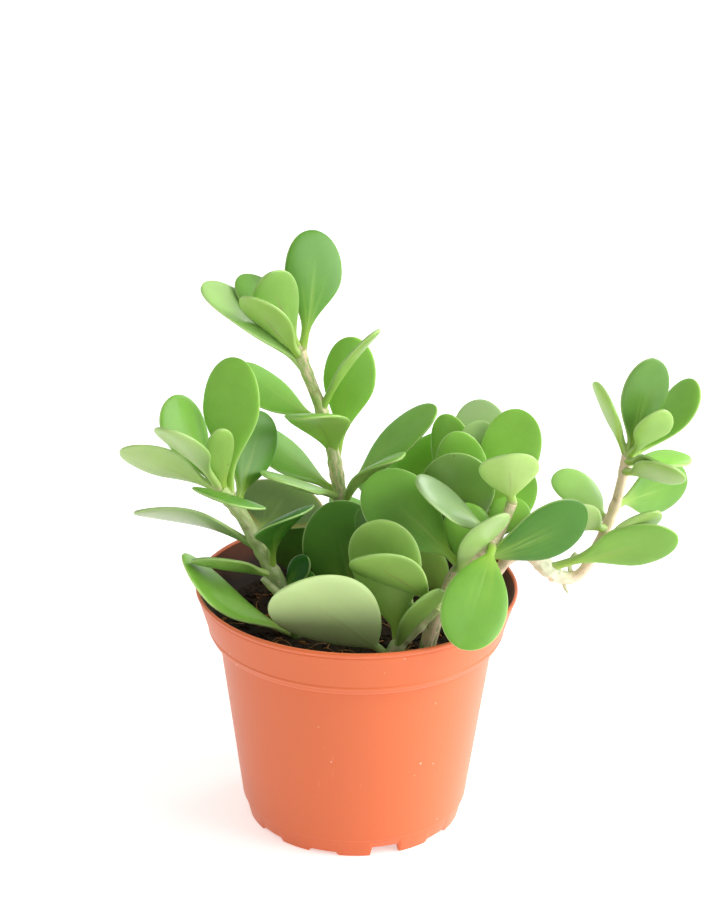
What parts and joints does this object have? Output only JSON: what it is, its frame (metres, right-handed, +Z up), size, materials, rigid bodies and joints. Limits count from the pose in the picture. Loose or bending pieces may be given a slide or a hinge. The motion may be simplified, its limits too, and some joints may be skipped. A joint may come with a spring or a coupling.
{
  "type": "potted succulent plant",
  "caption": "Leafy succulent with oval paddle leaves on bare stems, upright and trailing over the rim, in a round tapered nursery pot with a rim band.",
  "frame": {"origin": "on the floor, at the middle of the whole object's footprint; the pot's axis stands 19.5 mm to -X and 9.9 mm to -Y of it", "axes": "+Z up; -Y towards the side that the picture shows; +X to the right in that view, where the trailing stem leaves the pot"},
  "size_m": [0.2104, 0.1419, 0.2185],
  "materials": {
    "pot": "moulded, slightly satin terracotta-coloured plastic",
    "soil": "dark damp bark compost",
    "leaf": "waxy mid-green leaf skin with paler margins and undersides"
  },
  "bodies": {
    "root": {"pot": "pot", "soil": "soil", "tall_shoot": "leaf", "left_shoot": "leaf", "front_shoot": "leaf", "right_shoot": "leaf", "crown_shoot": "leaf", "trailing_shoot": "leaf", "rear_shoot": "leaf"}
  },
  "joints": []
}
